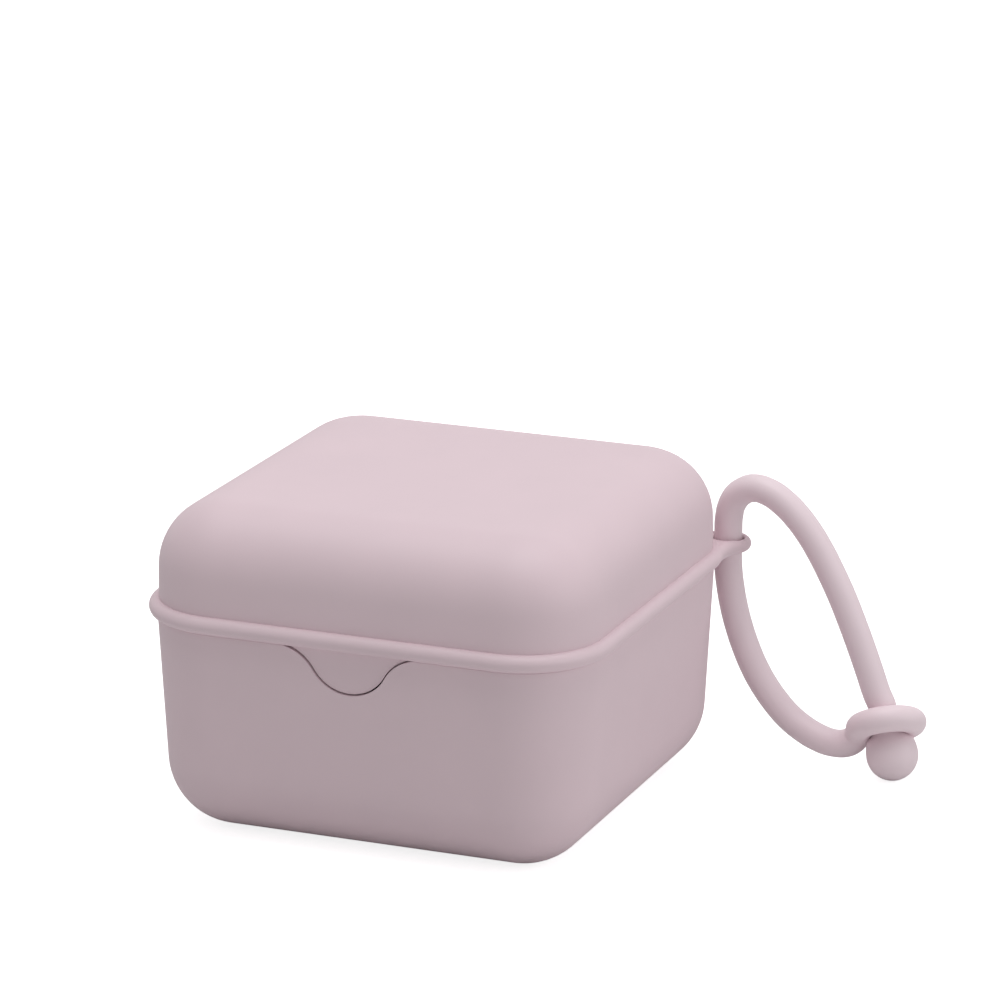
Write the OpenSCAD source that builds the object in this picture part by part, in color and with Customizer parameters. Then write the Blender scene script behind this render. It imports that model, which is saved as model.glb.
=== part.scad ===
// Pacifier sterilizer case: a square tub with a lift-off lid, a steam rack inside
// and a silicone strap looped through an eyelet at the lid's rear right corner.
// Millimetres. The origin is the middle of the tub's underside, +Z is up, the finger
// tongue is on the front (-Y) and the strap is on the right (+X).

/* [Case] */
// Width and depth of the tub at its rim
body_w = 85; // [78:0.2:96]
// Radius of the upright corners at the tub's rim
corner_r = 14.8; // [14.8:0.2:20]
// Height of the tub, from the table to the seam
base_h = 39.8; // [34:0.2:52]
// Height of the lid above the seam
lid_h = 21.5; // [18:0.1:28]
// How far the lid's wall lies inside the tub's wall at the seam
lid_inset = 0.2; // [0:0.1:1]

/* [Walls] */
// Wall thickness of the tub
wall_t = 2; // [1.6:0.1:2.6]
// Floor thickness of the tub
floor_t = 2; // [1.6:0.1:3]
// Thickness of the lid's top
top_t = 2.2; // [1.6:0.1:3]
// How far the tub's walls lean outwards, in degrees
base_draft = 3.1; // [1:0.1:4]
// How far the lid's walls lean inwards, in degrees
lid_draft = 1; // [0.5:0.1:2]
// Distance from a corner's axis to where the tub's lower edge starts to curve
foot_flat = 0.14; // [0.1:0.02:5]
// Distance from a corner's axis to where the lid's upper edge starts to curve
crown_flat = 1.84; // [0.5:0.02:6]

/* [Seam] */
// Thickness of the tub's rim, where the wall is rebated for the lid's skirt
rim_t = 1.2; // [1:0.1:1.4]
// Depth of the rebate inside the tub's rim
rebate_h = 4.6; // [3.6:0.1:6]
// How far the lid's skirt stops above the bottom of the rebate
skirt_rise = 0.4; // [0.2:0.1:1]
// Clearance between the skirt and the rim
skirt_gap = 0.2; // [0.15:0.05:0.4]
// Thickness of the skirt
skirt_t = 1.3; // [1:0.1:1.6]
// Height of the round bead along the lid's lower edge
bead_h = 3.2; // [2.4:0.1:4]
// How far the bead stands out from the tub's wall
bead_out = 1.55; // [0.8:0.05:2]

/* [Finger tongue] */
// Depth of the bell-shaped cut-out below the seam
notch_depth = 8.2; // [6:0.1:10]
// Half the width of the cut-out where it meets the seam
notch_half_w = 12.4; // [11:0.1:15]
// Radius of the cut-out's round tip
notch_tip_r = 8; // [6:0.1:9]
// Gap between the tongue and the cut-out, all round
tongue_gap = 0.4; // [0.3:0.05:0.8]
// How far the tongue's face lies behind the tub's wall
tongue_recess = 0.4; // [0.2:0.05:0.6]

/* [Eyelet] */
// Radius of the eyelet's hole
eyelet_hole_r = 3; // [2.9:0.1:3.4]
// Radius of the eyelet's outside
eyelet_r = 4.6; // [4.3:0.1:5.4]
// Thickness of the eyelet
eyelet_h = 2.8; // [2:0.1:3.2]
// Distance from the corner's wall to the middle of the eyelet
eyelet_out = 4.4; // [4.2:0.1:5]

/* [Steam rack] */
// Thickness of the rack's plate
rack_t = 1.8; // [1.4:0.1:2.4]
// Height of the rack's legs, which keeps the plate above the water
leg_h = 8.4; // [7:0.1:12]
// Radius of the legs
leg_r = 3; // [2.5:0.1:4]
// Distance of each leg from the rack's centre lines
leg_place = 22; // [18:0.5:24]
// Gap between the rack's edge and the tub's wall
rack_gap = 0.6; // [0.4:0.1:1]
// Radius of the steam holes
steam_hole_r = 2.5; // [1.5:0.1:3]
// Distance from one steam hole to the next
steam_pitch = 9; // [8:0.5:12]

/* [Strap] */
// Diameter of the strap
strap_d = 5.3; // [4.5:0.1:5.5]
// Direction in which the strap's loop points away from the eyelet, in degrees from +X
strap_heading = -7; // [-40:1:60]
// Outer radius of the closing ring
ring_r = 7.6; // [7:0.1:8.2]
// Thickness of the closing ring
ring_t = 3.9; // [3.4:0.1:4.2]
// Radius of the closing ring's hole
ring_hole_r = 2.95; // [2.9:0.05:3.1]
// Lean of the closing ring, in degrees
ring_tilt = 8; // [4:1:12]
// Radius of the knob
knob_r = 4.9; // [4.4:0.1:4.9]
// Distance from the middle of the ring to the middle of the knob
knob_drop = 5.75; // [5.7:0.05:6.5]
// Lean of the knob and its neck, in degrees
knob_tilt = 14; // [10:1:16]
// Radius of the knob's neck, where it passes through the ring
neck_r = 2.5; // [2.2:0.05:2.6]

/* [Hidden] */
$fn = 96;

BLUSH = [0.84, 0.74, 0.77];

// Extra length of a cut, so that it passes right through a face
cut = 1;
// Reach of a tool that cuts or fills the front wall, measured inwards from it
front_depth = 6;

// Every rounded form turns its corners about the same four upright axes
corner_c = body_w / 2 - corner_r;
total_h = base_h + lid_h;

// How far the tub's drafted outer wall lies outside the corner axis at height z
function base_reach(z) = corner_r - (base_h - z) * tan(base_draft);
// How far the lid's drafted outer wall lies outside the corner axis at height z
function lid_reach(z) = corner_r - lid_inset - (z - base_h) * tan(lid_draft);

// Radius of the round edge that starts at a given flat and runs into a leaning wall
function edge_radius(reach, flat, draft) = (reach - flat) * tan((90 + draft) / 2);

// Radii of the tub's lower edge and the lid's upper edge
base_edge_r = edge_radius(base_reach(0), foot_flat, base_draft);
lid_edge_r = edge_radius(lid_reach(total_h), crown_flat, lid_draft);

// Steps that draw a round edge of radius r, about 1.3 mm long on a large one
function edge_steps(r) = max(4, round(1.2 * r));

// Inner edges follow the outer ones at the thickness of the wall
base_inner_r = base_edge_r - wall_t;
lid_wall_t = lid_reach(base_h) - (corner_r - rim_t - skirt_gap - skirt_t);
lid_inner_r = lid_edge_r - lid_wall_t;

// The skirt's outer and inner faces at the seam, and its height below it
skirt_reach = corner_r - rim_t - skirt_gap;
skirt_inner = skirt_reach - skirt_t;
skirt_h = rebate_h - skirt_rise;
skirt_edge_r = 0.6;

// The bead is a round bar centred half its height above the seam
bead_r = bead_h / 2;
bead_reach = corner_r + bead_out - bead_r;
bead_z = base_h + bead_r;

// The cut-out's flares are round the other way and run out level at the seam
flare_r = (pow(notch_half_w, 2) + pow(notch_depth, 2)) / (2 * notch_depth) - notch_tip_r;

// The eyelet stands on the diagonal, outside the rear right corner
eyelet_xy = corner_c + (corner_r + eyelet_out) * cos(45);
eyelet_z = base_h + eyelet_h / 2;
// The web from the bead to the eyelet, a little thinner than both
web_h = eyelet_h - 0.4;
web_spread = 1.6;

// The inside of the tub at the level of the rack, where the lower edge has begun to turn in
rack_z = floor_t + leg_h;
rack_turn = max(0, floor_t + base_inner_r - rack_z);
rack_turn_in = base_inner_r - sqrt(pow(base_inner_r, 2) - pow(rack_turn, 2));
rack_reach = base_reach(rack_z) - wall_t - rack_turn_in - rack_gap;
// Steam holes fill the plate up to a margin from its edge and clear of the legs
rack_margin = 4;
hole_clear = 1.5;
hole_field = corner_c + rack_reach - rack_margin - steam_hole_r;
hole_steps = floor(hole_field / steam_pitch);

// The strap's route from the ring, down and round through the eyelet to the knob's neck:
// distance out from the eyelet's axis and height above the eyelet's middle, drawn for a ring
// that is route_drop below it
route_drop = 30.6;
drawn_route = [
    [27.9, -33.0], [26.7, -34.6], [24.9, -35.6], [22.2, -35.9], [19.1, -35.3], [16.0, -34.0],
    [13.0, -32.1], [10.2, -29.5], [7.7, -26.5], [5.6, -23.2], [3.9, -19.7], [2.5, -16.1],
    [1.4, -12.4], [0.6, -8.6], [0.1, -4.9], [0, -2.0], [0, 2.0], [0.1, 5.1], [0.9, 8.1],
    [2.7, 10.3], [5.3, 11.4], [8.4, 11.0], [11.5, 9.4], [14.3, 7.1], [17.0, 4.1], [19.4, 0.7],
    [21.6, -3.0], [23.8, -7.1], [25.8, -11.4], [27.8, -16.0], [29.7, -20.7], [31.3, -24.8],
    [32.5, -27.1]
];
strap_sides = 12;
strap_steps = 2;

// The knob rests on the table, a hair above it, and the ring lies above the knob
knob_rest = 0.12;
ring_z = knob_rest + knob_r + knob_drop * cos(knob_tilt);
// Below the eyelet the route stretches with the height of the case
strap_stretch = (eyelet_z - ring_z) / route_drop;
strap_route = [for (p = drawn_route) [p[0], p[1] < 0 ? p[1] * strap_stretch : p[1]]];

// The middle of the closing ring, measured as the route is
ring_middle = [33.3, ring_z - eyelet_z];

// The knob's neck starts where the route ends
neck_top = 3.7;

// --- Shared forms ---

// A wall in section, standing on the axis of a corner or of the case: its foot has a round
// edge, drawn with short straight steps, and its face leans outwards to reach at the top
module wall_section(reach, h, draft, edge_r) {
    tangent = edge_r / tan((90 + draft) / 2);
    middle = [reach - h * tan(draft) - tangent, edge_r];
    steps = edge_steps(edge_r);
    turn = 90 - draft;
    polygon([
        [0, 0],
        for (i = [0:steps]) middle + edge_r * [sin(turn * i / steps), -cos(turn * i / steps)],
        [reach, h],
        [0, h]
    ]);
}

// A rounded square block whose sections are walls: four corners and two crossing slabs
module rounded_form(reach, h, draft, edge_r) {
    for (turn = [0:3])
        rotate(90 * turn)
            translate([corner_c, corner_c, 0])
                rotate_extrude(angle = 90)
                    wall_section(reach, h, draft, edge_r);
    for (turn = [0:1])
        rotate(90 * turn)
            rotate([90, 0, 0])
                linear_extrude(2 * corner_c, center = true) {
                    wall_section(corner_c + reach, h, draft, edge_r);
                    mirror([1, 0]) wall_section(corner_c + reach, h, draft, edge_r);
                }
}

// A round bar bent round the case at a given reach and height
module round_bead(reach, z, r) {
    for (turn = [0:3])
        rotate(90 * turn) {
            translate([corner_c, corner_c, z])
                rotate_extrude(angle = 90)
                    translate([reach, 0]) circle(r);
            translate([corner_c + reach, 0, z])
                rotate([90, 0, 0])
                    cylinder(r = r, h = 2 * corner_c, center = true);
        }
}

// A plain rounded square plate with upright sides
module rounded_plate(reach, h) {
    linear_extrude(h)
        union() {
            square([2 * (corner_c + reach), 2 * corner_c], center = true);
            square([2 * corner_c, 2 * (corner_c + reach)], center = true);
            for (sx = [-1, 1], sy = [-1, 1])
                translate([sx * corner_c, sy * corner_c]) circle(reach);
        }
}

// The bell outline of the finger cut-out, its flares level with y = 0; gap shrinks it
module bell(gap) {
    tip_r = notch_tip_r - gap;
    tip_y = notch_tip_r - notch_depth;
    side_r = flare_r + gap;
    lean = [notch_half_w, -flare_r - tip_y] / (notch_tip_r + flare_r);
    touch = [0, tip_y] + tip_r * lean;
    intersection() {
        translate([-notch_half_w, -notch_depth - cut]) square([2 * notch_half_w, notch_depth + cut]);
        union() {
            difference() {
                polygon([
                    [-notch_half_w, 0], [notch_half_w, 0], [notch_half_w, -flare_r], touch,
                    [-touch[0], touch[1]], [-notch_half_w, -flare_r]
                ]);
                for (side = [-1, 1])
                    translate([side * notch_half_w, -flare_r]) circle(side_r);
            }
            translate([0, tip_y]) circle(tip_r);
        }
    }
}

// The bell outline drawn through the front wall as far in as depth, and up past the seam by rise
module front_bell(gap, depth, rise) {
    mouth_half_w = notch_half_w - sqrt(pow(flare_r + gap, 2) - pow(flare_r, 2));
    translate([0, depth - body_w / 2 - cut, base_h])
        rotate([90, 0, 0])
            linear_extrude(depth) {
                bell(gap);
                translate([-mouth_half_w, 0]) square([2 * mouth_half_w, rise]);
            }
}

// --- Tub ---

module tub_outside() {
    rounded_form(base_reach(base_h), base_h, base_draft, base_edge_r);
}

module tub_inside() {
    translate([0, 0, floor_t])
        rounded_form(base_reach(base_h + cut) - wall_t, base_h + cut - floor_t, base_draft, base_inner_r);
}

// The step inside the rim that takes the lid's skirt
module rim_rebate() {
    translate([0, 0, base_h - rebate_h])
        rounded_form(base_reach(base_h + cut) - rim_t, rebate_h + cut, base_draft, skirt_edge_r);
}

module base_shell() {
    color(BLUSH)
        difference() {
            tub_outside();
            tub_inside();
            rim_rebate();
            front_bell(0, front_depth, cut);
        }
}

// --- Lid ---

// The lid's rounded cap, from the seam to its top
module cap_outside() {
    translate([0, 0, total_h])
        mirror([0, 0, 1])
            rounded_form(lid_reach(base_h), lid_h, lid_draft, lid_edge_r);
}

// The hollow of the lid, from below the tongue to the underside of the top
module lid_hollow() {
    depth = lid_h - top_t + notch_depth + cut;
    mouth = skirt_inner + (notch_depth + cut) * tan(lid_draft);
    translate([0, 0, total_h - top_t])
        mirror([0, 0, 1])
            rounded_form(mouth, depth, lid_draft, lid_inner_r);
}

// The skirt that slips inside the tub's rim, carried up to the middle of the bead
module skirt() {
    translate([0, 0, base_h - skirt_h])
        rounded_form(skirt_reach, skirt_h, base_draft, skirt_edge_r);
    translate([0, 0, base_h])
        rounded_plate(bead_reach, bead_r);
}

// The tongue fills the tub's cut-out and lies just behind its face, which leans as the wall does
module tongue() {
    low = base_h - notch_depth;
    high = base_h + bead_r;
    back = -corner_c - skirt_inner + cut;
    intersection() {
        front_bell(tongue_gap, front_depth, bead_r);
        rotate([90, 0, 90])
            linear_extrude(2 * notch_half_w, center = true)
                polygon([
                    [-corner_c - base_reach(low) + tongue_recess, low],
                    [-corner_c - base_reach(high) + tongue_recess, high],
                    [back, high],
                    [back, low]
                ]);
    }
}

// A ring with a round rim and a web that runs into the bead
module eyelet() {
    rim_r = eyelet_h / 2;
    foot_half_w = eyelet_r + web_spread;
    translate([corner_c, corner_c, eyelet_z])
        rotate(45) {
            translate([corner_r + eyelet_out, 0, 0])
                rotate_extrude() {
                    translate([0, -rim_r]) square([eyelet_r - rim_r, eyelet_h]);
                    translate([eyelet_r - rim_r, 0]) circle(rim_r);
                }
            linear_extrude(web_h, center = true)
                polygon([
                    [bead_reach - bead_r, -foot_half_w],
                    [bead_reach + bead_r / 2, -foot_half_w],
                    [corner_r + eyelet_out, rim_r / 2 - eyelet_r],
                    [corner_r + eyelet_out, eyelet_r - rim_r / 2],
                    [bead_reach + bead_r / 2, foot_half_w],
                    [bead_reach - bead_r, foot_half_w]
                ]);
        }
}

module lid_shell() {
    color(BLUSH)
        difference() {
            union() {
                difference() {
                    union() {
                        cap_outside();
                        skirt();
                        round_bead(bead_reach, bead_z, bead_r);
                        tongue();
                    }
                    lid_hollow();
                }
                eyelet();
            }
            translate([eyelet_xy, eyelet_xy, base_h - cut])
                cylinder(r = eyelet_hole_r, h = eyelet_h + 2 * cut);
        }
}

// --- Steam rack ---

module steam_rack() {
    color(BLUSH)
        difference() {
            union() {
                translate([0, 0, rack_z]) rounded_plate(rack_reach, rack_t);
                for (sx = [-1, 1], sy = [-1, 1])
                    translate([sx * leg_place, sy * leg_place, floor_t])
                        cylinder(r = leg_r, h = leg_h + rack_t / 2);
            }
            for (ix = [-hole_steps:hole_steps], iy = [-hole_steps:hole_steps]) {
                x = ix * steam_pitch;
                y = iy * steam_pitch;
                to_leg = norm([abs(x) - leg_place, abs(y) - leg_place]);
                if (to_leg > leg_r + steam_hole_r + hole_clear)
                    translate([x, y, rack_z - cut])
                        cylinder(r = steam_hole_r, h = rack_t + 2 * cut);
            }
        }
}

// --- Strap ---

// A place given as distance out from the eyelet and height above its middle
function strap_point(p) = [
    eyelet_xy + p[0] * cos(strap_heading),
    eyelet_xy + p[0] * sin(strap_heading),
    eyelet_z + p[1]
];

// A smooth curve through four neighbouring points, at t from 0 to 1 between the middle two
function smooth(a, b, c, d, t) =
    0.5 * (2 * b + (c - a) * t + (2 * a - 5 * b + 4 * c - d) * t * t
           + (3 * b - 3 * c + d - a) * t * t * t);

// The knob's axis, pointing down through the ring
knob_axis = [sin(knob_tilt), -cos(knob_tilt)];
neck_start = ring_middle - neck_top * knob_axis;

// The route with its last point moved onto the neck
route = [for (i = [0:len(strap_route) - 1]) i < len(strap_route) - 1 ? strap_route[i] : neck_start];
route_last = len(route) - 1;
before_first = 2 * route[0] - route[1];
after_last = route[route_last] + norm(route[route_last] - route[route_last - 1]) * knob_axis;

function route_at(i) = i < 0 ? before_first : i > route_last ? after_last : route[i];

strap_line = [
    for (i = [0:route_last - 1], k = [0:strap_steps - 1])
        smooth(route_at(i - 1), route[i], route[i + 1], route_at(i + 2), k / strap_steps),
    route[route_last]
];

// The direction of the line at one of its points
function line_way(i) =
    let (n = len(strap_line),
         way = i == 0 ? strap_line[1] - strap_line[0]
             : i == n - 1 ? knob_axis
             : strap_line[i + 1] - strap_line[i - 1])
    way / norm(way);

// One ring of the tube, square to the line; the loop lies in an upright plane
function tube_ring(i) =
    let (way = line_way(i),
         side = [-way[1], way[0]],
         across = [-sin(strap_heading), cos(strap_heading), 0])
    [for (k = [0:strap_sides - 1])
        let (turn = 360 * k / strap_sides)
        strap_point(strap_line[i] + strap_d / 2 * cos(turn) * side)
            + strap_d / 2 * sin(turn) * across];

module strap_cord() {
    rings = len(strap_line);
    points = [for (i = [0:rings - 1]) each tube_ring(i)];
    walls = [
        for (i = [0:rings - 2], k = [0:strap_sides - 1])
            let (a = i * strap_sides + k, b = i * strap_sides + (k + 1) % strap_sides)
            each [[a, b, b + strap_sides], [a, b + strap_sides, a + strap_sides]]
    ];
    ends = [
        for (k = [1:strap_sides - 2])
            let (last = (rings - 1) * strap_sides)
            each [[0, k + 1, k], [last, last + k, last + k + 1]]
    ];
    color(BLUSH)
        polyhedron(points = points, faces = concat(walls, ends));
}

// Puts its children at a point of the strap's plane, leaning by tilt with -Z along the knob
module strap_place(p, tilt) {
    translate(strap_point(p))
        rotate([0, 0, strap_heading])
            rotate([0, -tilt, 0])
                children();
}

module strap_ring() {
    rim_r = ring_t / 2;
    color(BLUSH)
        strap_place(ring_middle, ring_tilt)
            rotate_extrude() {
                translate([ring_hole_r + rim_r, 0]) circle(rim_r);
                translate([ring_r - rim_r, 0]) circle(rim_r);
                translate([ring_hole_r + rim_r, -rim_r])
                    square([ring_r - ring_hole_r - ring_t, ring_t]);
            }
}

module strap_knob() {
    color(BLUSH)
        strap_place(ring_middle, knob_tilt) {
            translate([0, 0, -knob_drop]) sphere(knob_r);
            translate([0, 0, -knob_drop]) cylinder(r = neck_r, h = knob_drop + neck_top);
        }
}

base_shell();
lid_shell();
steam_rack();
strap_cord();
strap_ring();
strap_knob();
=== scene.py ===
"""Looks of the pacifier sterilizer case: a matte moulded tub and lid, the rack inside them
and a silicone strap closed with a knob and ring. Lengths are in millimetres until mm()."""

import math

import bmesh
import bpy
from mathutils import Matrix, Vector


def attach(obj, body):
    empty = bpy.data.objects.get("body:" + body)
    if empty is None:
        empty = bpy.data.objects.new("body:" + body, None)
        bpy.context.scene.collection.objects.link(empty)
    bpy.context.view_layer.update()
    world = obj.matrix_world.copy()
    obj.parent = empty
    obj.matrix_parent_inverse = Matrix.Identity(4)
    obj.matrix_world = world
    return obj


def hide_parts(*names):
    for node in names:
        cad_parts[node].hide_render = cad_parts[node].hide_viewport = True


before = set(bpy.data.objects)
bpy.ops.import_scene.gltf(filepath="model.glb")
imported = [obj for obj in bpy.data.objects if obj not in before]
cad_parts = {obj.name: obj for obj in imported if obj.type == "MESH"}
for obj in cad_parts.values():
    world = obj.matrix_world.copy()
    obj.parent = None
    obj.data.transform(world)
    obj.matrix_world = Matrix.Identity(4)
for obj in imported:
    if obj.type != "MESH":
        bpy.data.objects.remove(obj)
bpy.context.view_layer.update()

# ---------------------------------------------------------------- sizes, as in the CAD source
BODY_W = 85.0
CORNER_R = 14.8
CORNER_AXIS = BODY_W / 2 - CORNER_R
BASE_H = 39.8
LID_H = 21.5
TOTAL_H = BASE_H + LID_H
LID_INSET = 0.2
WALL = 2.0
FLOOR = 2.0
TOP = 2.2
BASE_DRAFT = math.radians(3.1)
LID_DRAFT = math.radians(1.0)
BASE_EDGE_R = 13.2
LID_EDGE_R = 12.6

RIM = 1.2
REBATE_H = 4.6
SKIRT_GAP = 0.2
SKIRT_T = 1.3
SKIRT_RISE = 0.4
SKIRT_OUT = CORNER_R - RIM - SKIRT_GAP
SKIRT_IN = SKIRT_OUT - SKIRT_T
SKIRT_H = REBATE_H - SKIRT_RISE
BEAD_R = 1.6
BEAD_OUT = 1.55
BEAD_REACH = CORNER_R + BEAD_OUT - BEAD_R

NOTCH_DEPTH = 8.2
NOTCH_TIP_R = 8.0
TONGUE_RECESS = 0.4

EYELET_HOLE_R = 3.0
EYELET_H = 2.8
RIM_R = EYELET_H / 2
EYELET_OUT = 4.4
EYELET_PLACE = CORNER_R + EYELET_OUT
EYELET_XY = CORNER_AXIS + EYELET_PLACE * math.cos(math.pi / 4)
EYELET_Z = BASE_H + EYELET_H / 2

LEG_H = 8.4
RACK_Z = FLOOR + LEG_H
RACK_T = 1.8
RACK_REACH = 10.25
LEG_R = 3.0
LEG_PLACE = 22.0
STEAM_HOLE_R = 2.5
STEAM_PITCH = 9.0
STEAM_STEPS = 3
HOLE_CLEAR = 1.5
LEG_CLEAR = LEG_R + STEAM_HOLE_R + HOLE_CLEAR

STRAP_D = 5.3
STRAP_HEADING = math.radians(-7)
RING_R = 7.6
KNOB_R = 4.9
KNOB_DROP = 5.75
KNOB_LEAN = (math.radians(14), STRAP_HEADING)
NECK_R = 2.5

# The strap's line from the ring, down and up through the eyelet and over to the knob's neck:
# distance out from the eyelet's axis, height above its middle
RING_MIDDLE = (33.3, -30.6)
NECK_TOP = 3.7
STRAP_ROUTE = [
    (27.9, -33.0), (26.7, -34.6), (24.9, -35.6), (22.2, -35.9), (19.1, -35.3), (16.0, -34.0),
    (13.0, -32.1), (10.2, -29.5), (7.7, -26.5), (5.6, -23.2), (3.9, -19.7), (2.5, -16.1),
    (1.4, -12.4), (0.6, -8.6), (0.1, -4.9), (0, -2.0), (0, 2.0), (0.1, 5.1), (0.9, 8.1),
    (2.7, 10.3), (5.3, 11.4), (8.4, 11.0), (11.5, 9.4), (14.3, 7.1), (17.0, 4.1), (19.4, 0.7),
    (21.6, -3.0), (23.8, -7.1), (25.8, -11.4), (27.8, -16.0), (29.7, -20.7), (31.3, -24.8),
]

# ---------------------------------------------------------------- sizes of the looks alone
# The photograph shows these a little wider, fuller or finer than the CAD's plain solids
NOTCH_HALF_W = 14.1
TONGUE_GAP = 0.28
EYELET_R = 4.4
PLATE_T = 2.7
WEB_SIDE_R = 14.0
RING_HOLE_R = 2.5
RING_T = 5.0
RING_LEAN = (math.radians(32.5), math.radians(-57))
ROOT_R = 2.57  # the ring's root, just inside the strap's surface
ROOT_SPREAD = (0, math.radians(-28), math.radians(28))
HIDDEN_END = 0.4  # how far above the ring's middle the strap ends, out of sight
END_SHARE = 0.85  # thickness of the strap's two hidden ends, as a share of the strap's
RING_MESH = 0.24  # size of the even mesh that makes the ring and its root one
EYELET_MESH = 0.2
TONGUE_DEPTH = 3.2
RIM_ROUND = 0.3
RACK_EDGE = 0.4
LEG_TAPER = 0.3
LEG_SINK = 0.8  # how far a leg reaches into the rack's plate
HOLE_ROUND = 0.5  # radius of the edges of the eyelet's hole
# The knob's shoulder from its widest place to its neck: radius, height above its middle
KNOB_SHOULDER = [
    (4.86, 0.7), (4.76, 1.5), (4.55, 2.3), (4.2, 3.0), (3.75, 3.55), (3.1, 4.1), (2.7, 4.7),
]

MERGE = 0.01  # corners closer than this are one
SLIVER = 0.003  # faces narrower than this are left over from a cut


def mm(*values):
    """Millimetres as metres: one number, or a vector of several."""
    return values[0] / 1000 if len(values) == 1 else Vector(v / 1000 for v in values)


def strap_point(out, up):
    """A point of the strap's upright plane, in millimetres."""
    return Vector((
        EYELET_XY + out * math.cos(STRAP_HEADING),
        EYELET_XY + out * math.sin(STRAP_HEADING),
        EYELET_Z + up,
    ))


# ---------------------------------------------------------------- camera
AZIMUTH, ELEVATION = math.radians(22.089), math.radians(16.444)
AIM = mm(-23.538, 87.096, 29.8)
DISTANCE = mm(1035.508)
LENS = 185.77

back = Vector((
    math.sin(AZIMUTH) * math.cos(ELEVATION),
    -math.cos(AZIMUTH) * math.cos(ELEVATION),
    math.sin(ELEVATION),
))
bpy.ops.object.camera_add(
    location=AIM + back * DISTANCE, rotation=(-back).to_track_quat("-Z", "Y").to_euler()
)
camera = bpy.context.object
camera.data.lens = LENS
camera.data.sensor_width = 36
bpy.context.scene.camera = camera


# ---------------------------------------------------------------- modelling helpers
def deselect():
    """Leaves nothing selected, so that an operator acts on the next piece alone."""
    bpy.ops.object.select_all(action="DESELECT")


def editing(obj):
    """Makes obj the only selected object and goes into edit mode on it."""
    deselect()
    bpy.context.view_layer.objects.active = obj
    obj.select_set(True)
    bpy.ops.object.mode_set(mode="EDIT")


def choose(test, kind="VERT"):
    """Selects what passes the test in edit mode, which is given the corners in millimetres."""
    bpy.ops.mesh.select_all(action="DESELECT")
    bpy.ops.mesh.select_mode(type=kind)
    mesh = bpy.context.edit_object.data
    work = bmesh.from_edit_mesh(mesh)
    parts = {"VERT": work.verts, "EDGE": work.edges, "FACE": work.faces}[kind]
    for part in parts:
        corners = [part] if kind == "VERT" else part.verts
        part.select_set(bool(test([c.co * 1000 for c in corners])))
    work.select_flush_mode()
    bmesh.update_edit_mesh(mesh)


def draw_line(name, points):
    """Draws a line of edges in a new object, by extruding one corner from point to point."""
    deselect()
    bpy.ops.mesh.primitive_plane_add(size=mm(1))
    obj = bpy.context.object
    obj.name = name
    bpy.ops.object.mode_set(mode="EDIT")
    bpy.ops.mesh.select_mode(type="VERT")
    bpy.ops.mesh.select_all(action="SELECT")
    bpy.ops.mesh.merge(type="CENTER")
    bpy.ops.transform.translate(value=mm(*points[0]))
    for here, there in zip(points, points[1:]):
        step = mm(*there) - mm(*here)
        bpy.ops.mesh.extrude_vertices_move(TRANSFORM_OT_translate={"value": step})
    return obj


def close_up():
    """Merges what meets and turns every face outwards, then leaves edit mode."""
    bpy.ops.mesh.select_all(action="SELECT")
    bpy.ops.mesh.remove_doubles(threshold=mm(MERGE))
    bpy.ops.mesh.normals_make_consistent(inside=False)
    bpy.ops.object.mode_set(mode="OBJECT")


def finish_with(obj, name, kind, **settings):
    """Puts a modifier on obj and applies it."""
    deselect()
    bpy.context.view_layer.objects.active = obj
    obj.select_set(True)
    modifier = obj.modifiers.new(name, kind)
    for key, value in settings.items():
        setattr(modifier, key, value)
    bpy.ops.object.modifier_apply(modifier=name)


def combine(obj, tool, operation):
    """Cuts or joins obj with another solid, which is used up."""
    finish_with(obj, "tool", "BOOLEAN", operation=operation, object=tool, solver="EXACT")
    bpy.data.objects.remove(tool)


def join_to(obj, others):
    """Puts other objects' meshes into obj, without making them one solid. For the ring and the eyelet, an
    even mesh afterwards makes them one solid where they overlap, which unlike a boolean comes out the same
    each time when round forms coincide."""
    deselect()
    for other in others:
        other.select_set(True)
    obj.select_set(True)
    bpy.context.view_layer.objects.active = obj
    bpy.ops.object.join()


def clear_slivers(obj):
    """Takes out the slivers and doubled corners that cutting and joining leave."""
    editing(obj)
    bpy.ops.mesh.select_all(action="SELECT")
    bpy.ops.mesh.remove_doubles(threshold=mm(SLIVER))
    bpy.ops.mesh.dissolve_degenerate(threshold=mm(SLIVER))
    bpy.ops.object.mode_set(mode="OBJECT")


def smooth_shade(obj, angle=32):
    """Smooth shading that keeps edges sharper than the angle."""
    deselect()
    bpy.context.view_layer.objects.active = obj
    obj.select_set(True)
    bpy.ops.object.shade_smooth_by_angle(angle=math.radians(angle))


def arc(middle, radius, start, end, steps):
    """Points of an arc, its ends included; angles in degrees from the first axis."""
    turns = [math.radians(start + (end - start) * i / steps) for i in range(steps + 1)]
    return [(middle[0] + radius * math.cos(t), middle[1] + radius * math.sin(t)) for t in turns]


def near(a, b):
    """Whether two lengths are the same to a hundredth of a millimetre."""
    return abs(a - b) < MERGE


CORNER_STEPS = 18
HOLD = 1.5  # a narrow strip beside each round part keeps the shading of the flat beside it flat


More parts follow.
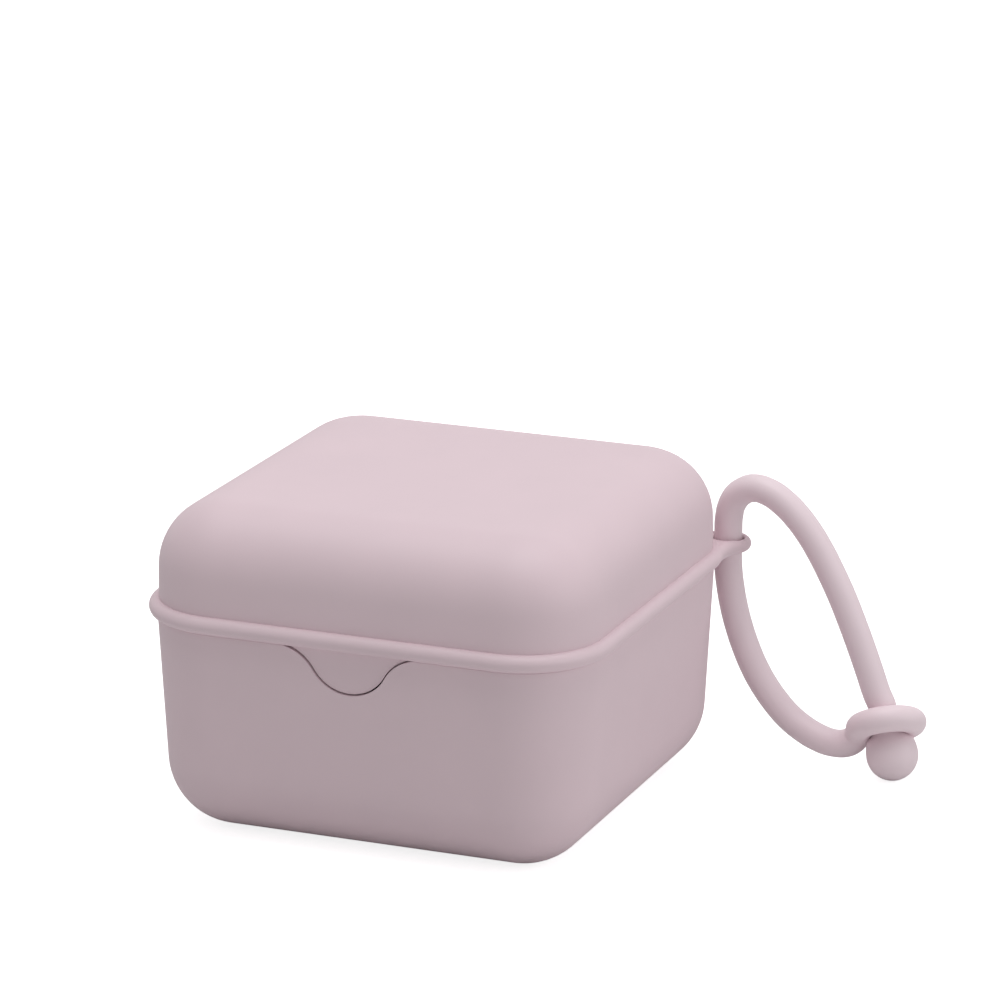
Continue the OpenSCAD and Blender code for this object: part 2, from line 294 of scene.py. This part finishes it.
def square_moulding(name, profile):
    """A rounded square moulding from its wall in section: the section, given as reach from the
    corner's axis and height, is spun round one corner, drawn out to the middles and mirrored."""
    obj = draw_line(name, [(CORNER_AXIS + reach, CORNER_AXIS, z) for reach, z in profile])
    bpy.ops.mesh.select_all(action="SELECT")
    bpy.ops.mesh.spin(
        steps=CORNER_STEPS, angle=-math.pi / 2,
        center=mm(CORNER_AXIS, CORNER_AXIS, 0), axis=(0, 0, 1),
    )
    bpy.ops.mesh.select_all(action="SELECT")
    bpy.ops.mesh.remove_doubles(threshold=mm(MERGE))
    for axis in (1, 0):
        for step in (HOLD, CORNER_AXIS - HOLD):
            start = CORNER_AXIS if step == HOLD else CORNER_AXIS - HOLD
            choose(lambda c: near(c[0][axis], start) and (axis == 0 or c[0][0] > CORNER_AXIS - MERGE))
            move = [0, 0, 0]
            move[axis] = -step
            bpy.ops.mesh.extrude_region_move(TRANSFORM_OT_translate={"value": mm(*move)})
    close_up()
    finish_with(obj, "quarters", "MIRROR", use_axis=(True, True, False), merge_threshold=mm(MERGE))
    editing(obj)
    close_up()
    return obj


def bell_outline(shrink):
    """The finger cut-out's bell from its left mouth round the tip to its right mouth, as
    distance from the middle and height from the seam; shrink draws the tongue inside it."""
    flare = (NOTCH_HALF_W**2 + NOTCH_DEPTH**2) / (2 * NOTCH_DEPTH) - NOTCH_TIP_R
    tip_z = NOTCH_TIP_R - NOTCH_DEPTH
    meet = math.degrees(math.atan2(tip_z + flare, NOTCH_HALF_W))
    mouth = math.degrees(math.asin(flare / (flare + shrink)))
    left = arc((-NOTCH_HALF_W, -flare), flare + shrink, mouth, meet, 10)
    tip = arc((0, tip_z), NOTCH_TIP_R - shrink, meet - 180, -meet, 24)
    right = [(-x, z) for x, z in reversed(left)]
    return left + tip[1:-1] + right


def front_solid(name, outline, front, depth):
    """A solid with the given outline in the front wall, drawn back from its front face;
    front gives how far out that face lies at each height."""
    points = [(x, -front(BASE_H + z), BASE_H + z) for x, z in outline]
    obj = draw_line(name, points + points[:1])
    bpy.ops.mesh.select_all(action="SELECT")
    bpy.ops.mesh.remove_doubles(threshold=mm(MERGE))
    bpy.ops.mesh.edge_face_add()
    bpy.ops.mesh.extrude_region_move(TRANSFORM_OT_translate={"value": mm(0, depth, 0)})
    close_up()
    return obj


# ---------------------------------------------------------------- strap, first as a free cord
def leaning(lean):
    """The direction in which -Z points for a piece leaning by an angle towards a heading."""
    tilt, heading = lean
    return Vector((
        math.sin(tilt) * math.cos(heading), math.sin(tilt) * math.sin(heading), -math.cos(tilt)
    ))


ring_place = strap_point(*RING_MIDDLE)
strap_line = [strap_point(*place) for place in STRAP_ROUTE]
# The last two points lie on the knob's neck, the second of them hidden in the ring
strap_line += [ring_place - up * leaning(KNOB_LEAN) for up in (NECK_TOP, HIDDEN_END)]

deselect()
bpy.ops.curve.primitive_bezier_curve_add(enter_editmode=False)
strap = bpy.context.object
strap.name = "strap_loop"
spline = strap.data.splines[0]
spline.bezier_points.add(len(strap_line) - 2)
for knot, place in zip(spline.bezier_points, strap_line):
    knot.co = mm(*place)
    knot.handle_left_type = knot.handle_right_type = "AUTO"
# Where the strap's ends are hidden in the ring, they are a little thinner
spline.bezier_points[0].radius = spline.bezier_points[-1].radius = END_SHARE
strap.data.dimensions = "3D"
strap.data.resolution_u = 5
strap.data.bevel_depth = mm(STRAP_D / 2)
strap.data.bevel_resolution = 7
strap.data.use_fill_caps = True


def place_in_ring(obj, lean):
    """Moves a piece made at the origin to the middle of the ring, leaning towards a heading."""
    tilt, heading = lean
    deselect()
    bpy.context.view_layer.objects.active = obj
    obj.select_set(True)
    obj.rotation_euler = (0, -tilt, heading)
    obj.location = mm(*ring_place)
    bpy.ops.object.transform_apply(location=True, rotation=True, scale=True)


# The closing ring: a thick doughnut that runs out into the end of the strap
ring_mid_r = (RING_R + RING_HOLE_R) / 2
tube_r = (RING_R - RING_HOLE_R) / 2
deselect()
bpy.ops.mesh.primitive_torus_add(
    major_radius=mm(ring_mid_r), minor_radius=mm(tube_r), major_segments=64, minor_segments=28,
)
ring = bpy.context.object
ring.name = "closing_ring"
editing(ring)
bpy.ops.mesh.select_all(action="SELECT")
bpy.ops.transform.resize(value=(1, 1, RING_T / (2 * tube_r)))
close_up()
place_in_ring(ring, RING_LEAN)

# A root of the strap reaches from its end into the middle of the doughnut's tube
ring_way = leaning(RING_LEAN)
to_end = strap_line[0] - ring_place
to_end -= to_end.dot(ring_way) * ring_way
to_end = to_end.normalized() * ring_mid_r
sideways = ring_way.cross(to_end)
roots = [(strap_line[2], strap_line[1]), (strap_line[1], strap_line[0])]
for turn in ROOT_SPREAD:
    roots.append((strap_line[0], ring_place + to_end * math.cos(turn) + sideways * math.sin(turn)))
balls = []
for here, there in roots:
    way = there - here
    deselect()
    bpy.ops.mesh.primitive_uv_sphere_add(
        segments=40, ring_count=24, radius=mm(ROOT_R), location=mm(*here),
        rotation=way.to_track_quat("Z", "Y").to_euler(),
    )
    ball = bpy.context.object
    bpy.ops.object.transform_apply(location=True, rotation=True, scale=True)
    editing(ball)
    choose(lambda c: all((p - here).dot(way) > MERGE for p in c))
    bpy.ops.transform.translate(value=mm(*way))
    bpy.ops.object.mode_set(mode="OBJECT")
    balls.append(ball)
join_to(ring, balls)
finish_with(ring, "even_mesh", "REMESH", mode="VOXEL", voxel_size=mm(RING_MESH))
finish_with(ring, "soften", "SMOOTH", factor=0.5, iterations=14)
smooth_shade(ring, 60)

# The knob: a round button whose full shoulder lies against the ring, turned in one profile
# with the neck that carries it through
knob_profile = [(0, -KNOB_DROP - KNOB_R)]
knob_profile += arc((0, -KNOB_DROP), KNOB_R, -85, 0, 16)
knob_profile += [(r, up - KNOB_DROP) for r, up in KNOB_SHOULDER]
knob_profile += [(NECK_R, -0.8), (NECK_R, NECK_TOP), (0, NECK_TOP)]
knob = draw_line("knob", [(r, 0, z) for r, z in knob_profile])
bpy.ops.mesh.select_all(action="SELECT")
bpy.ops.mesh.spin(steps=48, angle=2 * math.pi, center=(0, 0, 0), axis=(0, 0, 1))
close_up()
place_in_ring(knob, KNOB_LEAN)
smooth_shade(knob, 60)


# ---------------------------------------------------------------- tub
def base_reach(z):
    """How far the tub's outer wall lies outside the corner's axis at a height."""
    return CORNER_R - (BASE_H - z) * math.tan(BASE_DRAFT)


def wall_and_edge(reach, z_low, z_high, lean, radius, steps):
    """A round lower edge and the start and end of the leaning wall above it: points from the
    floor's flat up to the wall's top. reach is that at z_low, before rounding."""
    tangent = radius / math.tan((math.pi / 2 + lean) / 2)
    middle = (reach - tangent, z_low + radius)
    turn = 90 - math.degrees(lean)
    edge = arc(middle, radius, -90, turn - 90, steps)
    along = (math.sin(lean), math.cos(lean))
    hold = (edge[-1][0] + HOLD * along[0], edge[-1][1] + HOLD * along[1])
    top = (reach + (z_high - z_low) * math.tan(lean), z_high)
    flat = (max(0.05, edge[0][0] - HOLD), z_low)
    return [flat] * (edge[0][0] > HOLD) + edge + [hold, top]


rim_z = BASE_H - RIM_ROUND
rebate_z = BASE_H - REBATE_H
outer = wall_and_edge(base_reach(0), 0, rim_z, BASE_DRAFT, BASE_EDGE_R, 16)
inner = wall_and_edge(base_reach(FLOOR) - WALL, FLOOR, rebate_z, BASE_DRAFT, BASE_EDGE_R - WALL, 14)
rim_out = base_reach(rim_z)
rim_in = base_reach(BASE_H) - RIM
tub_profile = [(0, 0)] + outer[:-1]
tub_profile += [(base_reach(rim_z - 1), rim_z - 1)]
tub_profile += arc((rim_out - RIM_ROUND, rim_z), RIM_ROUND, 0, 90, 4)
tub_profile += arc((rim_in + RIM_ROUND, rim_z), RIM_ROUND, 90, 180, 4)
tub_profile += [(rim_in - 0.05, rim_z - 1), (base_reach(rebate_z) - RIM, rebate_z + 0.2)]
tub_profile += [(base_reach(rebate_z) - RIM - 0.2, rebate_z), (inner[-1][0] + 0.15, rebate_z)]
tub_profile += [(inner[-1][0], rebate_z - 0.15)]
tub_profile += list(reversed(inner[:-1])) + [(0, FLOOR)]
tub = square_moulding("tub", tub_profile)

# The bell-shaped finger cut-out goes right through the front wall
above = [(NOTCH_HALF_W, 1), (-NOTCH_HALF_W, 1)]
notch = front_solid("notch", bell_outline(0) + above, lambda z: BODY_W / 2 + 1, 8)
combine(tub, notch, "DIFFERENCE")
smooth_shade(tub)


# ---------------------------------------------------------------- lid
def lid_reach(z):
    """How far the lid's outer wall lies outside the corner's axis at a height."""
    return CORNER_R - LID_INSET - (z - BASE_H) * math.tan(LID_DRAFT)


def hang(points):
    """Turns a wall drawn upwards from the table over, so that it hangs from the lid's top."""
    return [(reach, TOTAL_H - z) for reach, z in points]


BEAD_TOP = BASE_H + 2 * BEAD_R
cap = hang(wall_and_edge(lid_reach(TOTAL_H), 0, LID_H - 2 * BEAD_R, LID_DRAFT, LID_EDGE_R, 16))
ceiling = TOTAL_H - TOP
hollow_reach = SKIRT_IN - (ceiling - BASE_H) * math.tan(LID_DRAFT)
hollow = hang(wall_and_edge(
    hollow_reach, TOP, LID_H + SKIRT_H - SKIRT_RISE, LID_DRAFT,
    LID_EDGE_R - (lid_reach(BASE_H) - SKIRT_IN), 14,
))
skirt_z = BASE_H - SKIRT_H
lid_profile = [(0, TOTAL_H)] + cap[:-1]
lid_profile += [(lid_reach(BEAD_TOP + 1), BEAD_TOP + 1), (lid_reach(BEAD_TOP), BEAD_TOP)]
lid_profile += arc((BEAD_REACH, BASE_H + BEAD_R), BEAD_R, 84, -90, 16)
lid_profile += [(SKIRT_OUT, BASE_H), (SKIRT_OUT - 0.05, BASE_H - 1)]
lid_profile += [(SKIRT_OUT - 0.2, skirt_z + 0.5), (SKIRT_OUT - 0.5, skirt_z)]
lid_profile += [(SKIRT_IN + 0.4, skirt_z), (hollow[-1][0], hollow[-1][1])]
lid_profile += list(reversed(hollow[:-1])) + [(0, ceiling)]
lid = square_moulding("lid", lid_profile)

# The tongue hangs from the bead into the cut-out
tongue_top = BEAD_R
tongue_outline = bell_outline(TONGUE_GAP)
mouth = -tongue_outline[0][0]
tongue_outline += [(mouth, tongue_top), (-mouth, tongue_top)]


def tongue_face(z):
    """How far out the tongue's face lies at a height."""
    return CORNER_AXIS + base_reach(z) - TONGUE_RECESS


tongue = front_solid("tongue", tongue_outline, tongue_face, TONGUE_DEPTH)
combine(lid, tongue, "UNION")


def diagonal(u, v):
    """A place given out from the rear right corner's axis and across it."""
    c = math.cos(math.pi / 4)
    return CORNER_AXIS + c * (u - v), CORNER_AXIS + c * (u + v)


# The eyelet: its round rim branches off the bead on one side of the corner, goes round the
# hole and runs back into the bead on the other side, and a plate nearly as thick fills it
bead_edge = CORNER_R + BEAD_OUT
far = bead_edge + WEB_SIDE_R
close = EYELET_R + WEB_SIDE_R
side_u = (EYELET_PLACE**2 + far**2 - close**2) / (2 * EYELET_PLACE)
side_v = math.sqrt(far**2 - side_u**2)
to_bead = math.degrees(math.atan2(-side_v, -side_u)) + 360
to_ring = math.degrees(math.atan2(-side_v, EYELET_PLACE - side_u)) + 360
BRANCH_STEPS, HOOP_STEPS = 10, 16
branch = arc((side_u, side_v), WEB_SIDE_R + BEAD_R, to_bead, to_ring, BRANCH_STEPS)
hoop = arc((EYELET_PLACE, 0), EYELET_R - RIM_R, to_ring - 180, 180 - to_ring, HOOP_STEPS)
rim_line = branch + hoop[1:-1] + [(u, -v) for u, v in reversed(branch)]
# How far each point has changed from the bead's thickness and height to the rim's
last = len(rim_line) - 1
rim_share = [min(1, k / BRANCH_STEPS, (last - k) / BRANCH_STEPS) for k in range(last + 1)]

deselect()
bpy.ops.curve.primitive_bezier_curve_add(enter_editmode=False)
eyelet = bpy.context.object
spline = eyelet.data.splines[0]
spline.bezier_points.add(len(rim_line) - 2)
for knot, (u, v), share in zip(spline.bezier_points, rim_line, rim_share):
    x, y = diagonal(u, v)
    knot.co = mm(x, y, BASE_H + BEAD_R + share * (RIM_R - BEAD_R))
    knot.radius = (BEAD_R - 0.04 + share * (RIM_R - BEAD_R)) / BEAD_R
    knot.handle_left_type = knot.handle_right_type = "AUTO"
eyelet.data.dimensions = "3D"
eyelet.data.resolution_u = 3
eyelet.data.bevel_depth = mm(BEAD_R)
eyelet.data.bevel_resolution = 8
eyelet.data.use_fill_caps = True
bpy.ops.object.convert(target="MESH")
bpy.ops.object.transform_apply(location=True, rotation=True, scale=True)
eyelet.name = "eyelet"

plate_line = [(*diagonal(u, v), EYELET_Z - PLATE_T / 2) for u, v in rim_line + rim_line[:1]]
plate = draw_line("plate", plate_line)
bpy.ops.mesh.select_all(action="SELECT")
bpy.ops.mesh.remove_doubles(threshold=mm(MERGE))
bpy.ops.mesh.edge_face_add()
bpy.ops.mesh.extrude_region_move(TRANSFORM_OT_translate={"value": mm(0, 0, PLATE_T)})
close_up()
join_to(eyelet, [plate])
finish_with(eyelet, "even_mesh", "REMESH", mode="VOXEL", voxel_size=mm(EYELET_MESH))
finish_with(eyelet, "soften", "SMOOTH", factor=0.5, iterations=10)
combine(lid, eyelet, "UNION")

# The strap's hole, rounded where it opens
hole_profile = [(0, -4), (EYELET_HOLE_R + 0.8, -4)]
hole_profile += arc((EYELET_HOLE_R + HOLE_ROUND, -0.7), HOLE_ROUND, -100, -180, 5)
hole_profile += arc((EYELET_HOLE_R + HOLE_ROUND, 0.7), HOLE_ROUND, 180, 100, 5)
hole_profile += [(EYELET_HOLE_R + 0.8, 4), (0, 4)]
hole = draw_line("hole", [(EYELET_XY + r, EYELET_XY, EYELET_Z + z) for r, z in hole_profile])
bpy.ops.mesh.select_all(action="SELECT")
bpy.ops.mesh.spin(
    steps=64, angle=2 * math.pi, center=mm(EYELET_XY, EYELET_XY, EYELET_Z), axis=(0, 0, 1)
)
close_up()
combine(lid, hole, "DIFFERENCE")
clear_slivers(lid)
smooth_shade(lid)

# ---------------------------------------------------------------- steam rack
rack_top = RACK_Z + RACK_T
plate_profile = [(0, RACK_Z), (RACK_REACH - RACK_EDGE, RACK_Z), (RACK_REACH, RACK_Z + RACK_EDGE)]
plate_profile += [(RACK_REACH, rack_top - RACK_EDGE), (RACK_REACH - RACK_EDGE, rack_top), (0, rack_top)]
rack = square_moulding("rack", plate_profile)
for sx in (-1, 1):
    for sy in (-1, 1):
        deselect()
        bpy.ops.mesh.primitive_cone_add(
            vertices=40, radius1=mm(LEG_R - LEG_TAPER), radius2=mm(LEG_R),
            depth=mm(LEG_H + LEG_SINK),
            location=mm(sx * LEG_PLACE, sy * LEG_PLACE, FLOOR + (LEG_H + LEG_SINK) / 2),
        )
        combine(rack, bpy.context.object, "UNION")
holes = []
for ix in range(-STEAM_STEPS, STEAM_STEPS + 1):
    for iy in range(-STEAM_STEPS, STEAM_STEPS + 1):
        x, y = ix * STEAM_PITCH, iy * STEAM_PITCH
        if math.hypot(abs(x) - LEG_PLACE, abs(y) - LEG_PLACE) > LEG_CLEAR:
            deselect()
            bpy.ops.mesh.primitive_cylinder_add(
                vertices=32, radius=mm(STEAM_HOLE_R), depth=mm(6),
                location=mm(x, y, RACK_Z + RACK_T / 2), rotation=(0, 0, math.pi / 32),
            )
            holes.append(bpy.context.object)
join_to(holes[0], holes[1:])
combine(rack, holes[0], "DIFFERENCE")
clear_slivers(rack)
smooth_shade(rack)


# ---------------------------------------------------------------- materials
def srgb(code):
    """An sRGB hex colour as linear red, green, blue and alpha."""
    parts = [int(code[i:i + 2], 16) / 255 for i in (1, 3, 5)]
    return [p / 12.92 if p <= 0.04045 else ((p + 0.055) / 1.055) ** 2.4 for p in parts] + [1]


def add_node(tree, kind, settings=(), **inputs):
    """Adds a node with its settings; an input is a value or the output that is linked to it."""
    made = tree.nodes.new(kind)
    for key, value in dict(settings).items():
        setattr(made, key, value)
    for key, value in inputs.items():
        socket = made.inputs[key.replace("_", " ")]
        if isinstance(value, bpy.types.NodeSocket):
            tree.links.new(value, socket)
        else:
            socket.default_value = value
    return made


def moulded(name, light, dark, mottle, grain, gloss_low, gloss_high, relief):
    """A moulded, coloured-through material: a mottle of two close colours, and a fine grain
    that breaks up the shine. mottle, grain and relief are sizes in millimetres."""
    material = bpy.data.materials.new(name)
    material.use_nodes = True
    tree = material.node_tree
    shader = tree.nodes["Principled BSDF"]
    place = add_node(tree, "ShaderNodeTexCoord").outputs["Object"]
    clouds = add_node(tree, "ShaderNodeTexNoise", Vector=place, Scale=1 / mm(mottle), Detail=2.0)
    tint = add_node(tree, "ShaderNodeMix", {"data_type": "RGBA"})
    tree.links.new(clouds.outputs["Fac"], tint.inputs["Factor"])
    tint.inputs[6].default_value = srgb(light)
    tint.inputs[7].default_value = srgb(dark)
    tree.links.new(tint.outputs[2], shader.inputs["Base Color"])
    speck = add_node(tree, "ShaderNodeTexNoise", Vector=place, Scale=1 / mm(grain), Detail=1.0)
    shine = add_node(
        tree, "ShaderNodeMapRange", Value=speck.outputs["Fac"], To_Min=gloss_low, To_Max=gloss_high
    )
    tree.links.new(shine.outputs["Result"], shader.inputs["Roughness"])
    bump = add_node(tree, "ShaderNodeBump", Height=speck.outputs["Fac"], Strength=0.4, Distance=mm(relief))
    tree.links.new(bump.outputs["Normal"], shader.inputs["Normal"])
    return material


# Polypropylene from a spark-eroded tool: matte, with a grain too fine to see at arm's length
polypropylene = moulded("matte_polypropylene", "#E1CBD2", "#DCC7CE", 14, 0.4, 0.5, 0.6, 0.02)
polypropylene.node_tree.nodes["Principled BSDF"].inputs["IOR"].default_value = 1.49
# Silicone from a satin tool: smoother than the case, so the light runs along it a little more
silicone = moulded("satin_silicone", "#EEDCE2", "#E9D7DD", 9, 0.5, 0.4, 0.48, 0.015)
silicone.node_tree.nodes["Principled BSDF"].inputs["IOR"].default_value = 1.41

for piece, material, body, slot in (
    (tub, polypropylene, "tub", "case_plastic"),
    (lid, polypropylene, "lid", "case_plastic"),
    (rack, polypropylene, "rack", "case_plastic"),
    (strap, silicone, "strap", "strap_silicone"),
    (ring, silicone, "strap", "strap_silicone"),
    (knob, silicone, "strap", "strap_silicone"),
):
    piece.data.materials.clear()
    piece.data.materials.append(material)
    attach(piece, body)

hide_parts("base_shell")
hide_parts("lid_shell")
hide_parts("steam_rack")
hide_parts("strap_cord")
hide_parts("strap_ring")
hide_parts("strap_knob")

# ---------------------------------------------------------------- studio
deselect()
bpy.ops.mesh.primitive_plane_add(size=6, location=mm(0, 0, -0.05))
ground = bpy.context.object
ground.name = "studio_floor"
paper = bpy.data.materials.new("white_paper_floor")
paper.use_nodes = True
tree = paper.node_tree
shader = tree.nodes["Principled BSDF"]
shader.inputs["Base Color"].default_value = srgb("#E2E2E2")
shader.inputs["Roughness"].default_value = 0.9
shader.inputs["Specular IOR Level"].default_value = 0
ray = add_node(tree, "ShaderNodeLightPath")
lift = add_node(tree, "ShaderNodeMath", {"operation": "MULTIPLY"})
tree.links.new(ray.outputs["Is Camera Ray"], lift.inputs[0])
lift.inputs[1].default_value = 0.8
tree.links.new(lift.outputs[0], shader.inputs["Emission Strength"])
shader.inputs["Emission Color"].default_value = (1, 1, 1, 1)
ground.data.materials.append(paper)

world = bpy.data.worlds.new("white_studio")
bpy.context.scene.world = world
world.use_nodes = True
tree = world.node_tree
sky = tree.nodes["Background"]
ray = add_node(tree, "ShaderNodeLightPath")
seen = add_node(tree, "ShaderNodeMath", {"operation": "MAXIMUM"})
tree.links.new(ray.outputs["Is Camera Ray"], seen.inputs[0])
tree.links.new(ray.outputs["Is Transmission Ray"], seen.inputs[1])
seen_or_mirrored = add_node(tree, "ShaderNodeMath", {"operation": "MAXIMUM"})
tree.links.new(seen.outputs[0], seen_or_mirrored.inputs[0])
tree.links.new(ray.outputs["Is Glossy Ray"], seen_or_mirrored.inputs[1])
level = add_node(tree, "ShaderNodeMapRange", Value=seen_or_mirrored.outputs[0], To_Min=0.34, To_Max=1.0)
tree.links.new(level.outputs["Result"], sky.inputs["Strength"])
sky.inputs["Color"].default_value = (1, 1, 1, 1)


def softbox(name, place, size, power):
    """A square soft light at a place, turned towards the case."""
    place = Vector(place)
    aim = mm(0, 0, 40)
    bpy.ops.object.light_add(
        type="AREA", location=place, rotation=(aim - place).to_track_quat("-Z", "Y").to_euler()
    )
    lamp = bpy.context.object
    lamp.name = name
    lamp.data.shape = "SQUARE"
    lamp.data.size = size
    lamp.data.energy = power


softbox("overhead_softbox", (0.0, -0.02, 1.3), 1.0, 10.2)
softbox("side_softbox", (1.0, 0.0, 0.28), 0.8, 2.4)

bpy.context.scene.view_settings.view_transform = "Standard"
